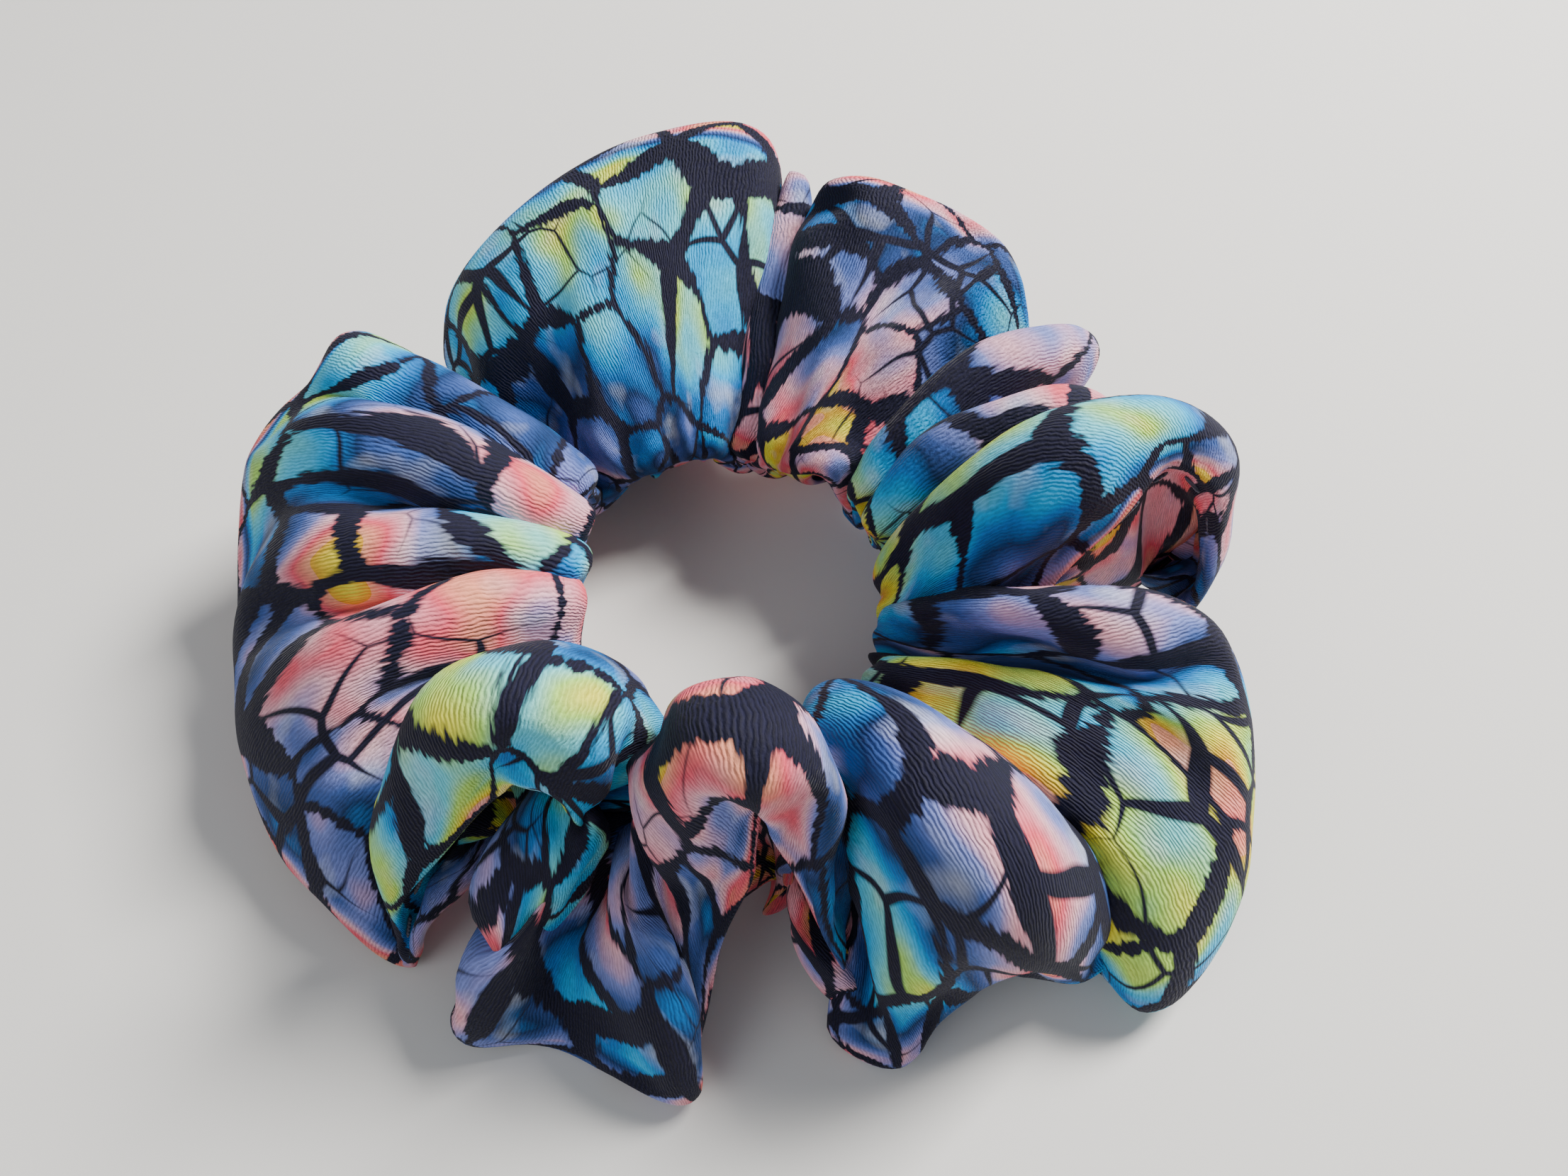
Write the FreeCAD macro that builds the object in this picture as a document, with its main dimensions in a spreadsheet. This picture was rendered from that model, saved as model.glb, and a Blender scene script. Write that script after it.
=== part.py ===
"""Fabric scrunchie: a gathered tube of cloth around a lapped elastic loop.

Millimetres, +Z up.  The origin is on the table under the middle of the outer box.
The tube's ends and the elastic's ends meet on the +X side, at the closing angle.
"""

import FreeCAD, Part
import math
import os

import Sketcher

V = FreeCAD.Vector
doc = FreeCAD.newDocument("scrunchie")

# ---------------------------------------------------------------- driving dimensions

DIMENSIONS = (
    ("hole_radius", 18.0),         # open middle, where the hair goes
    ("cloth_wall", 1.0),           # cloth of the cover
    ("lap_wall", 2.4),             # cloth where one end of the tube is tucked into the other
    ("lap_width", 8.0),
    ("lap_overrun", 0.5),          # how far the lap's cavity runs into the cavity on either side
    ("valley_reach_drop", 5.0),    # how far a valley between two ruffles pulls in
    ("valley_height_drop", 7.0),
    ("table_sink", 0.5),           # how far the round section is flattened by the table
    ("box_half", 90.0),            # half side of the block that trims the cover at the table
    ("box_height", 60.0),
    ("closing_angle", -10.0),      # where the tube's ends are sewn together
    ("rim_seam_inset", 0.6),       # the long seam's thread, inside the outer rim of the cloth
    ("thread_diameter", 0.5),
    ("needle_clearance", 0.06),    # room round the thread in a needle hole
    ("elastic_radius", 23.2),      # middle of the elastic's inner layer
    ("elastic_thick", 1.2),
    ("elastic_width", 6.0),
    ("elastic_base", 10.5),        # lower edge of the elastic above the table
    ("elastic_lap_gap", 0.1),
    ("elastic_lap_half", 20.0),    # half the angle over which the ends overlap
    ("elastic_step_start", 22.0),  # the outer end steps over the inner one
    ("elastic_step_end", 40.0),    # between these two angles
    ("stitch_proud", 0.4),         # how far the tack stitches stand out of the elastic
    ("stitch_rows", 3),
    ("stitch_columns", 5),
    ("stitch_row_pitch", 1.6),
    ("stitch_column_angle", 6.0),
    ("ring_poles", 56),            # surface poles round the ring, four to a ruffle
    ("section_poles", 8),          # surface poles round the cloth tube's section
    ("closing_stitches", 30),
    ("stitch_lowest", 1.6),        # no closing stitch is sewn lower than this
    ("rim_stitches", 110),
    ("rim_stitch_length", 2.2),
)

sheet = doc.addObject("Spreadsheet::Sheet", "dims")
for row, (alias, value) in enumerate(DIMENSIONS, start=1):
    sheet.set(f"A{row}", alias)
    sheet.set(f"B{row}", str(value))
    sheet.setAlias(f"B{row}", alias)
doc.recompute()


def dim(alias):
    """A driving dimension, read from the spreadsheet."""
    return float(sheet.get(alias))


# Crests of the ruffles, anticlockwise from +X: angle, reach from the origin, height.
RUFFLES = (
    (-4.0, 57.0, 38.0),
    (25.0, 48.0, 31.0),
    (52.0, 53.0, 41.0),
    (82.0, 58.0, 40.0),
    (112.0, 59.5, 40.0),
    (140.0, 57.0, 32.0),
    (172.0, 59.5, 33.0),
    (204.0, 58.5, 29.0),
    (228.0, 58.0, 32.0),
    (250.0, 58.5, 39.0),
    (272.0, 58.0, 42.0),
    (296.0, 60.5, 40.0),
    (322.0, 64.0, 32.0),
    (340.0, 62.5, 30.0),
)


LAP_SPANS = 4    # surface spans along the short cavity inside the tucked ends


# ---------------------------------------------------------------- surfaces of the gathered tube

def ruffle(turn):
    """Reach and height of the ruffled ring at an angle in radians."""
    degrees = math.degrees(turn)
    first = RUFFLES[0][0]
    degrees = first + (degrees - first) % 360.0
    crests = RUFFLES + ((first + 360.0,) + RUFFLES[0][1:],)
    for here, there in zip(crests, crests[1:]):
        if degrees <= there[0]:
            break
    part = (degrees - here[0]) / (there[0] - here[0])
    blend = part * part * (3.0 - 2.0 * part)
    valley = math.sin(math.pi * part) ** 2
    reach = here[1] + (there[1] - here[1]) * blend - dim("valley_reach_drop") * valley
    height = here[2] + (there[2] - here[2]) * blend - dim("valley_height_drop") * valley
    return reach, height


def section(turn):
    """Radius and height of the section's middle, and its half sizes, at an angle."""
    reach, height = ruffle(turn)
    half_reach = (reach - dim("hole_radius")) / 2.0
    half_height = (height + dim("table_sink")) / 2.0
    return dim("hole_radius") + half_reach, half_height - dim("table_sink"), half_reach, half_height


def patches(skin, along_knots, around_knots):
    """Cut a surface at the knots given into plain four-sided faces."""
    faces = []
    for low_u, high_u in zip(along_knots, along_knots[1:]):
        for low_v, high_v in zip(around_knots, around_knots[1:]):
            patch = skin.copy()
            patch.segment(low_u, high_u, low_v, high_v)
            faces.append(patch.toShape())
    return faces


def sewn_solid(faces):
    sewn = Part.Compound(faces)
    sewn.sewShape()
    return Part.makeSolid(sewn.Shells[0])


def pole_gain(around):
    """How much further out the poles of a round cubic section stand than its surface."""
    return 3.0 / (2.0 + math.cos(2.0 * math.pi / around))


def closed_tube(along, around, pole):
    """A solid whose skin is a periodic B-spline surface over pole(turn, round, gain)."""
    gain = pole_gain(around)
    poles = [
        [pole(2.0 * math.pi * i / along, 2.0 * math.pi * j / around, gain) for j in range(around)]
        for i in range(along)
    ]
    skin = Part.BSplineSurface()
    skin.buildFromPolesMultsKnots(
        poles,
        [1] * (along + 1),
        [1] * (around + 1),
        list(range(along + 1)),
        list(range(around + 1)),
        True,
        True,
        3,
        3,
    )
    quarters = [along * part // 4 for part in range(5)]
    return sewn_solid(patches(skin, quarters, [0, around // 2, around]))


def capped_tube(first, last, spans, around, pole):
    """The same kind of surface from one angle to another, closed by flat ends."""
    gain = pole_gain(around)
    poles = [
        [
            pole(first + (last - first) * i / spans, 2.0 * math.pi * j / around, gain)
            for j in range(around)
        ]
        for i in range(spans + 1)
    ]
    skin = Part.BSplineSurface()
    skin.buildFromPolesMultsKnots(
        poles,
        [4] + [1] * (spans - 3) + [4],
        [1] * (around + 1),
        list(range(spans - 1)),
        list(range(around + 1)),
        False,
        True,
        3,
        3,
    )
    last_knot = spans - 2
    sides = patches(skin, [0, last_knot // 2, last_knot], [0, around // 2, around])
    ends = []
    for end in (0, last_knot):
        ring = skin.uIso(end)
        halves = [ring.toShape(low, low + around / 2.0) for low in (0, around / 2.0)]
        ends.append(Part.Face(Part.Wire(halves)))
    return sewn_solid(sides + ends)


def at(turn, radius, height):
    return V(radius * math.cos(turn), radius * math.sin(turn), height)


def skin_pole(inset):
    """The poles of the tube's skin, moved inwards by inset."""

    def pole(turn, round_angle, gain):
        radius, middle, half_reach, half_height = section(turn)
        out = gain * (half_reach - inset) * math.cos(round_angle)
        rise = gain * (half_height - inset) * math.sin(round_angle)
        return at(turn, radius + out, middle + rise)

    return pole


# ---------------------------------------------------------------- document helpers

def solid_feature(name, shape):
    feature = doc.addObject("Part::Feature", name)
    feature.Shape = shape
    return feature


def boolean(kind, name, base, tool):
    feature = doc.addObject(kind, name)
    feature.Base = base
    feature.Tool = tool
    return feature


def stitch(name, middle, direction, span, extra):
    """One straight stitch of thread, centred on middle; extra widens it to a needle hole."""
    pin = doc.addObject("Part::Cylinder", name)
    pin.setExpression("Radius", f"dims.thread_diameter / 2 + {extra}")
    pin.Height = span
    start = middle - direction * (span / 2.0)
    pin.Placement = FreeCAD.Placement(start, FreeCAD.Rotation(V(0, 0, 1), direction))
    return pin


def stitch_group(name, pins):
    group = doc.addObject("Part::Compound", name)
    group.Links = pins
    return group


def closing_stitches(name, extra):
    """Stitches through the tucked end, all the way round the tube clear of the table."""
    turn = math.radians(dim("closing_angle"))
    radius, middle, half_reach, half_height = section(turn)
    inset = dim("lap_wall") / 2.0
    count = int(dim("closing_stitches"))
    pins = []
    for index in range(count):
        round_angle = 2.0 * math.pi * (index + 0.5) / count
        out = (half_reach - inset) * math.cos(round_angle)
        rise = (half_height - inset) * math.sin(round_angle)
        if middle + rise < dim("stitch_lowest"):
            continue
        outward = at(
            turn,
            (half_height - inset) * math.cos(round_angle),
            (half_reach - inset) * math.sin(round_angle),
        ).normalize()
        span = dim("lap_wall") + 2.0 * dim("stitch_proud")
        centre = at(turn, radius + out, middle + rise)
        pins.append(stitch(f"{name}_{index}", centre, outward, span, extra))
    return stitch_group(name, pins)


def rim_stitches(name):
    """The long seam: a running stitch pressed into the cloth along the ring's outer rim."""
    count = int(dim("rim_stitches"))

    def rim_point(turn):
        return at(turn, ruffle(turn)[0] - dim("rim_seam_inset"), section(turn)[1])

    pins = []
    for index in range(count):
        turn = 2.0 * math.pi * index / count
        half_step = math.pi / count / 2.0
        direction = (rim_point(turn + half_step) - rim_point(turn - half_step)).normalize()
        pins.append(stitch(f"{name}_{index}", rim_point(turn), direction, dim("rim_stitch_length"), "0"))
    return stitch_group(name, pins)


# ---------------------------------------------------------------- fabric cover

def make_cover():
    wall = dim("cloth_wall")
    ring_poles = int(dim("ring_poles"))
    section_poles = int(dim("section_poles"))

    # The tucked end thickens the wall over a short stretch of the tube.
    closing = math.radians(dim("closing_angle"))
    radius = section(closing)[0]
    lap_turn = dim("lap_width") / radius / 2.0
    overrun = dim("lap_overrun") / radius
    outside = solid_feature("cover_outside", closed_tube(ring_poles, section_poles, skin_pole(0.0)))
    cavity = solid_feature(
        "cover_cavity",
        capped_tube(
            closing + lap_turn,
            closing + 2.0 * math.pi - lap_turn,
            ring_poles + 1,
            section_poles,
            skin_pole(wall),
        ),
    )
    lap_cavity = solid_feature(
        "lap_cavity",
        capped_tube(
            closing - lap_turn - overrun,
            closing + lap_turn + overrun,
            LAP_SPANS,
            section_poles,
            skin_pole(dim("lap_wall")),
        ),
    )

    needle_holes = closing_stitches("closing_needle_holes", "dims.needle_clearance")

    above_table = doc.addObject("Part::Box", "above_table")
    above_table.setExpression("Length", "2 * dims.box_half")
    above_table.setExpression("Width", "2 * dims.box_half")
    above_table.setExpression("Height", "dims.box_height")
    above_table.setExpression("Placement.Base.x", "-dims.box_half")
    above_table.setExpression("Placement.Base.y", "-dims.box_half")

    resting = boolean("Part::Common", "resting_outside", outside, above_table)
    shell = boolean("Part::Cut", "cover_shell", resting, cavity)
    lapped = boolean("Part::Cut", "lapped_shell", shell, lap_cavity)
    cover = boolean("Part::Cut", "fabric_cover", lapped, needle_holes)
    cover.Label = "fabric_cover"
    return cover


def make_seam_threads():
    side = rim_stitches("side_seam_thread")
    side.Label = "side_seam_thread"
    closing = closing_stitches("closing_seam_thread", "0")
    closing.Label = "closing_seam_thread"
    return [side, closing]


# ---------------------------------------------------------------- elastic band and its tack

def xy_plane(body):
    return next(f for f in body.Origin.OriginFeatures if f.Role == "XY_Plane")


def make_elastic_strip():
    """Flat elastic bent into a loop, its outer end lapped over its inner end."""
    body = doc.addObject("PartDesign::Body", "elastic_strip")
    sketch = body.newObject("Sketcher::SketchObject", "elastic_outline")
    sketch.AttachmentSupport = [(xy_plane(body), "")]
    sketch.MapMode = "FlatFace"

    inner = dim("elastic_radius") - dim("elastic_thick") / 2.0
    outer = dim("elastic_radius") + dim("elastic_thick") / 2.0
    lift = dim("elastic_thick") + dim("elastic_lap_gap")
    lap = dim("elastic_lap_half")
    step_start = dim("elastic_step_start")
    step_end = dim("elastic_step_end")

    def arc(radius, low, high):
        circle = Part.Circle(V(0, 0, 0), V(0, 0, 1), radius)
        return Part.ArcOfCircle(circle, math.radians(low), math.radians(high))

    def line(radius_a, angle_a, radius_b, angle_b):
        first = at(math.radians(angle_a), radius_a, 0)
        second = at(math.radians(angle_b), radius_b, 0)
        return Part.LineSegment(first, second)

    half = "dims.elastic_thick / 2"
    arcs = (
        (arc(inner, step_end, 360.0 + lap), f"dims.elastic_radius - {half}"),
        (arc(outer, step_end, 360.0 + lap), f"dims.elastic_radius + {half}"),
        (arc(inner + lift, -lap, step_start), f"dims.elastic_radius + {half} + dims.elastic_lap_gap"),
        (arc(outer + lift, -lap, step_start), f"dims.elastic_radius + 3 * {half} + dims.elastic_lap_gap"),
    )
    lines = (
        line(inner, lap, outer, lap),
        line(outer, step_end, outer + lift, step_start),
        line(outer + lift, -lap, inner + lift, -lap),
        line(inner + lift, step_start, inner, step_end),
    )
    for shape, _ in arcs:
        sketch.addGeometry(shape, False)
    for shape in lines:
        sketch.addGeometry(shape, False)

    start, end, centre, origin = 1, 2, 3, -1
    inner_arc, outer_arc, tail_inner, tail_outer, cap, step_out, tail_cap, step_in = range(8)
    joints = (
        (inner_arc, end, cap, start),
        (cap, end, outer_arc, end),
        (outer_arc, start, step_out, start),
        (step_out, end, tail_outer, end),
        (tail_outer, start, tail_cap, start),
        (tail_cap, end, tail_inner, start),
        (tail_inner, end, step_in, start),
        (step_in, end, inner_arc, start),
    )
    for joint in joints:
        sketch.addConstraint(Sketcher.Constraint("Coincident", *joint))
    for index in range(len(arcs)):
        sketch.addConstraint(Sketcher.Constraint("Coincident", index, centre, origin, start))
    for index, (shape, expression) in enumerate(arcs):
        row = sketch.addConstraint(Sketcher.Constraint("Radius", index, shape.Radius))
        sketch.setExpression(f"Constraints[{row}]", expression)
    doc.recompute()

    pad = body.newObject("PartDesign::Pad", "elastic_pad")
    pad.Profile = sketch
    pad.setExpression("Length", "dims.elastic_width")
    body.setExpression("Placement.Base.z", "dims.elastic_base")
    body.setExpression("Placement.Rotation.Angle", "dims.closing_angle")
    body.Placement.Rotation.Axis = V(0, 0, 1)
    doc.recompute()
    return body


def tack_stitches(name, extra):
    """The rows of straight tack stitches through both layers of the lap, as one group."""
    rows = int(dim("stitch_rows"))
    columns = int(dim("stitch_columns"))
    middle_height = dim("elastic_base") + dim("elastic_width") / 2.0
    proud = dim("stitch_proud")
    start = dim("elastic_radius") - dim("elastic_thick") / 2.0 - proud
    span = 2.0 * dim("elastic_thick") + dim("elastic_lap_gap") + 2.0 * proud
    pins = []
    for row in range(rows):
        height = middle_height + (row - (rows - 1) / 2.0) * dim("stitch_row_pitch")
        for column in range(columns):
            offset = (column - (columns - 1) / 2.0) * dim("stitch_column_angle")
            turn = math.radians(dim("closing_angle") + offset)
            centre = at(turn, start + span / 2.0, height)
            pins.append(stitch(f"{name}_{row}_{column}", centre, at(turn, 1.0, 0.0), span, extra))
    return stitch_group(name, pins)


def make_elastic():
    strip = make_elastic_strip()
    holes = tack_stitches("needle_holes", "dims.needle_clearance")
    elastic = boolean("Part::Cut", "elastic_band", strip, holes)
    elastic.Label = "elastic_band"
    stitches = tack_stitches("elastic_join_stitches", "0")
    stitches.Label = "elastic_join_stitches"
    return [elastic, stitches]


# ---------------------------------------------------------------- build, check and write

nodes = [make_cover()] + make_seam_threads() + make_elastic()
doc.recompute()

for item in doc.Objects:
    if "Invalid" in item.State or "Error" in item.State:
        raise RuntimeError(f"{item.Name} failed: {item.State}")

os.makedirs("parts", exist_ok=True)
for node in nodes:
    shape = node.Shape
    if shape.isNull() or not shape.isValid() or not shape.Solids:
        raise RuntimeError(f"{node.Label} has no valid solid")
    shape.exportStep(f"parts/{node.Label}.step")
    size = shape.BoundBox
    print(
        f"{node.Label}: solids {len(shape.Solids)}, volume {shape.Volume:.1f}, "
        f"x {size.XMin:.1f} {size.XMax:.1f}, y {size.YMin:.1f} {size.YMax:.1f}, "
        f"z {size.ZMin:.2f} {size.ZMax:.1f}"
    )
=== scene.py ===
import math

import bpy
import numpy as np
from mathutils import Matrix, Vector


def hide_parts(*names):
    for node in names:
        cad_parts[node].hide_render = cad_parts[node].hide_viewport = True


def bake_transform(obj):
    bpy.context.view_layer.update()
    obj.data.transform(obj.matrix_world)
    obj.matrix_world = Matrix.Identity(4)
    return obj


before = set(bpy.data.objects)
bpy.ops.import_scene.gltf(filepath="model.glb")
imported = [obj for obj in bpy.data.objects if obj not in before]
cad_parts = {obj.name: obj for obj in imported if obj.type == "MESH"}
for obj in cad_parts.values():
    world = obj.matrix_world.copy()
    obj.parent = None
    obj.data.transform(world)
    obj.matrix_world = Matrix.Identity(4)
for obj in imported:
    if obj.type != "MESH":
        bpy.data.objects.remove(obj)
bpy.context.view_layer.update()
MM = 0.001

# ------------------------------------------------------------------ sizes, in millimetres

TUBE_LENGTH = 700.0        # the cloth tube before it was gathered onto the elastic
TUBE_ROUND = 82.0          # all the way round the tube's section
COLUMNS = 400              # mesh columns round the ring
ROWS = 52                  # mesh rows round the tube
RIM_ROW = ROWS // 2        # the row at the outer rim; row 0 is the gathered inner edge
PHASES = 2.0 * math.pi * np.arange(ROWS) / ROWS        # of the rows, round the tube's section
OPEN_PHASES = math.pi * np.array((0.4, 0.5, 0.65, 1.0))    # where the cloth is least gathered
ROUNDNESS = 0.7            # 1 gives the flattened tube an elliptical section, less a fuller one
TABLE_GAP = 0.3            # the cloth rests this far above the floor
PLACE_SAMPLES = 2400       # places tried round the ring when the columns are spaced along the cloth

GATHERS = 58               # small folds where the cloth bunches round the elastic
GATHER_HEIGHT = 0.85       # their height
GATHER_DRIFT = (5, 2.0)    # they close up and spread this often round the ring, by this angle
CASING = 1.3               # how far the cloth stands out round the elastic, in gather heights
CASING_EDGE = 3.0          # more makes the casing rise more steeply from the inner edge
WRINKLES = ((31, 3.0, 0.9), (47, -4.0, 0.8), (68, 6.0, 0.5), (95, -3.0, 0.35))  # waves, lean, height
WRINKLE_PHASE = 1.7        # sets the sizes of wrinkle out of step with each other
WRINKLE_END = 1.2          # the share of the way across where wrinkles would end, past the rim
WRINKLE_HANG = 20.0        # cloth that hangs this far has wrinkles twice as high

CLOSING_PLACE = 22.0       # station where the tube's ends are sewn together
LAP_PLACE = 23.6           # station where the elastic's ends overlap
LAP_COLUMNS = 14           # half the overlap, in mesh columns
ELASTIC_ROW = 7            # mesh row beside which the elastic lies
ELASTIC_REACH = 2.68272    # radius of the octagon that is squared off to make its section
ELASTIC_THICK = 0.9        # which comes out 4.96 wide in the gathered cloth, of 6 when it is flat
ELASTIC_STEP = 0.45        # length of elastic from one ring of its mesh to the next, for its weave
LAP_SHIFT = 0.55           # each end moves this share of its thickness to lie on the other
THREAD = 0.22              # half the thread's thickness
TACK_REACH = 1.14          # half the length of a tack stitch, through both layers of the lap
TACK_ROW_GAP = 1.3         # from one row of tack stitches to the next
TACK_COLUMNS = 4           # mesh columns from one tack stitch to the next in its row
SEAM_COLUMNS = 4           # mesh columns from one stitch of the long seam to the next
SEAM_STITCH = 2            # mesh columns that each of them covers
CLOSING_REACH = 1.0        # half the length of a stitch that joins the tube's ends

SIM_SCALE = 20.0           # the cloth solver works in units this much larger than metres
SIM_FRAMES = 14
SIM_TRAVEL = 5.0           # furthest that a point may move while the cloth settles
SLACK = -0.05              # the solver's shrinking, negative so that the cloth grows
CLOTH_GAP = 0.6            # the cloth keeps this far from itself
HELD_ROWS = 2              # sim rows each side of the inner edge that the elastic holds
BENDING = 0.1              # the solver's bending stiffness
GRAVITY = 0.015            # share of real gravity, too little to flatten the arches

# Stations of the gathered tube, anticlockwise seen from above.  The tube lies nearly flat, like a
# ribbon two layers thick.  At each station: the point on its outer rim, the point that it bends
# over on the way in, the angle, radius and height of its gathered inner edge, and half its
# thickness where it is fullest.
STATIONS = (
    # outer rim               bends over              inner edge             half thickness
    ((-33.5, -42.0, 3.5), (-27.0, -31.0, 14.0), (-135.0, 20.0, 9.0), 1.8),    # left lobe's tail
    ((-30.5, -38.0, 12.0), (-31.0, -27.0, 36.0), (-130.0, 20.0, 12.0), 3.2),
    ((-18.5, -29.5, 28.5), (-17.5, -24.5, 48.0), (-119.0, 20.0, 15.0), 4.8),  # first arch
    ((-10.5, -34.5, 17.0), (-7.0, -27.0, 40.0), (-108.0, 20.5, 12.0), 2.4),
    ((-28.0, -45.5, 4.5), (-17.0, -35.0, 34.0), (-106.0, 21.0, 10.0), 3.4),   # foot in front of it
    ((-17.5, -50.0, 3.5), (-13.0, -34.0, 14.0), (-104.0, 21.5, 8.0), 1.8),
    ((-5.0, -54.5, 4.5), (-8.5, -41.0, 29.0), (-101.0, 21.0, 10.0), 3.2),
    ((-4.5, -48.5, 7.5), (-6.5, -33.0, 35.0), (-97.0, 20.5, 12.0), 2.2),
    ((5.0, -33.5, 29.0), (4.0, -27.0, 51.0), (-84.0, 20.0, 15.0), 5.0),       # middle arch
    ((12.0, -45.0, 7.5), (13.0, -32.5, 35.0), (-71.0, 20.5, 12.0), 2.2),
    ((9.0, -49.0, 4.5), (10.5, -37.0, 20.0), (-68.0, 21.0, 10.0), 2.2),       # foot beside it
    ((15.5, -52.5, 3.5), (14.0, -37.0, 14.0), (-65.0, 21.0, 9.0), 2.0),
    ((20.5, -48.5, 7.5), (19.0, -36.0, 38.0), (-62.0, 20.5, 12.0), 2.8),
    ((29.5, -46.0, 9.0), (26.0, -37.0, 48.0), (-56.0, 20.5, 15.0), 5.0),      # third arch
    ((39.5, -45.5, 5.0), (32.0, -34.0, 36.0), (-49.0, 21.0, 12.0), 2.6),
    ((36.0, -40.5, 3.5), (30.0, -27.0, 12.0), (-44.0, 22.0, 9.0), 1.8),
    ((43.5, -47.5, 4.0), (37.0, -32.0, 28.0), (-39.0, 22.0, 11.0), 2.8),      # lower right lobe
    ((51.5, -41.0, 5.0), (41.0, -28.0, 35.0), (-33.0, 21.5, 13.0), 4.0),
    ((56.5, -29.0, 8.0), (44.0, -24.0, 37.0), (-28.0, 21.5, 14.0), 4.0),
    ((56.5, -18.5, 15.0), (43.0, -20.5, 39.0), (-23.0, 21.0, 15.0), 3.2),
    ((53.0, -13.5, 20.0), (40.0, -18.5, 44.0), (-19.0, 20.5, 15.0), 3.0),     # near lip of the curl
    ((45.0, -9.0, 21.5), (35.0, -14.0, 40.0), (-16.0, 20.5, 14.0), 2.4),
    ((37.0, -6.5, 19.0), (31.0, -8.5, 26.0), (-13.0, 21.0, 11.0), 1.8),
    ((42.5, -2.5, 32.5), (33.0, -0.5, 45.5), (-9.0, 20.0, 15.0), 2.4),        # the hood over it
    ((47.0, 1.0, 36.0), (40.0, 9.0, 47.0), (-2.0, 19.5, 16.0), 3.0),
    ((52.0, -1.5, 33.0), (57.0, 14.5, 40.0), (4.0, 20.0, 15.0), 2.4),
    ((54.0, -5.5, 22.0), (62.0, 14.0, 28.0), (9.0, 20.5, 13.0), 2.0),
    ((52.5, -5.5, 12.0), (60.0, 13.0, 15.0), (13.0, 21.0, 11.0), 1.8),
    ((56.0, 5.0, 4.0), (46.0, 15.0, 7.0), (16.0, 22.0, 9.0), 1.6),
    ((48.0, 13.0, 10.0), (36.0, 12.5, 14.0), (19.0, 22.0, 9.0), 1.6),
    ((47.0, 15.5, 26.0), (34.0, 14.0, 38.0), (23.0, 19.5, 16.0), 2.6),        # two narrow folds
    ((44.0, 20.0, 13.0), (33.0, 17.5, 14.0), (29.0, 22.0, 8.0), 1.6),
    ((46.5, 25.0, 25.0), (33.5, 21.5, 36.0), (34.0, 19.5, 17.0), 2.8),
    ((41.0, 28.0, 6.0), (32.0, 24.0, 11.0), (40.0, 22.0, 8.0), 1.6),
    ((37.5, 27.5, 31.0), (31.0, 26.0, 24.0), (46.0, 18.5, 18.0), 3.0),        # blue lobe
    ((30.0, 39.5, 34.5), (22.0, 31.0, 26.0), (58.0, 16.5, 18.0), 3.8),
    ((12.0, 46.5, 35.0), (12.0, 34.0, 28.0), (70.0, 17.5, 16.0), 3.0),
    ((9.0, 44.0, 16.0), (8.0, 33.0, 13.0), (75.0, 22.0, 9.0), 1.6),
    ((8.5, 50.5, 34.0), (6.0, 36.0, 27.0), (80.0, 19.5, 14.0), 2.4),          # strip between lobes
    ((6.5, 46.0, 16.0), (3.5, 35.0, 13.0), (85.0, 22.0, 9.0), 1.6),
    ((4.5, 53.5, 36.5), (0.5, 38.5, 26.0), (92.0, 19.5, 14.0), 3.2),          # back left lobe
    ((-11.0, 55.0, 35.0), (-9.0, 38.0, 26.0), (104.0, 19.0, 15.0), 4.2),
    ((-25.0, 51.0, 28.0), (-18.0, 35.0, 26.0), (116.0, 18.5, 15.0), 4.0),
    ((-37.0, 45.5, 17.0), (-26.0, 32.0, 20.0), (126.0, 20.0, 13.0), 3.0),
    ((-41.5, 35.0, 5.0), (-30.0, 26.0, 10.0), (135.0, 22.0, 9.0), 1.8),
    ((-43.5, 24.0, 30.0), (-33.0, 19.0, 26.0), (148.0, 18.0, 20.0), 3.0),     # peak of the left lobe
    ((-50.0, 19.5, 25.0), (-37.5, 15.5, 29.0), (155.0, 18.0, 15.0), 2.8),
    ((-54.5, 14.0, 20.0), (-38.5, 10.0, 36.0), (162.0, 15.0, 21.0), 3.4),     # its three inner folds
    ((-57.0, 6.0, 13.5), (-40.0, 5.0, 33.0), (171.0, 17.0, 14.5), 3.0),
    ((-56.5, -2.0, 9.0), (-39.5, -2.0, 37.0), (180.0, 14.5, 19.0), 3.6),
    ((-55.0, -9.5, 6.5), (-39.5, -7.5, 33.0), (189.0, 17.0, 14.0), 3.0),
    ((-52.5, -17.0, 5.0), (-38.0, -13.0, 36.0), (199.0, 15.5, 19.0), 3.4),
    ((-48.5, -25.0, 4.0), (-37.0, -18.5, 31.0), (209.0, 18.0, 13.0), 2.8),
    ((-43.0, -32.5, 4.0), (-33.0, -23.0, 28.0), (217.0, 18.5, 13.0), 2.6),
)

# How far the tube's lower layer hangs below these stations, inside its arches and hoods.
SAGS = {
    1: 6.0, 2: 16.0, 3: 5.0, 7: 4.0, 8: 27.0, 9: 4.0, 13: 15.0, 16: 5.0, 17: 8.0, 18: 9.0, 19: 10.0,
    20: 9.0, 21: 5.0, 22: 5.0, 23: 17.0, 24: 30.0, 25: 22.0, 26: 10.0, 30: 7.0, 32: 8.0, 34: 8.0,
    35: 14.0, 36: 9.0, 40: 10.0, 41: 16.0, 42: 14.0, 43: 5.0, 45: 8.0, 47: 9.0, 49: 8.0, 51: 7.0,
}
HANG_OUT = 0.35            # and how far it swings outward, as a share of that
HANG_DEPTH = 1.8           # more keeps the hanging fold further in from the rim


# ------------------------------------------------------------------ shape of the gathered tube

def unit(vectors):
    return vectors / (np.linalg.norm(vectors, axis=-1, keepdims=True) + 1e-9)


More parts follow.
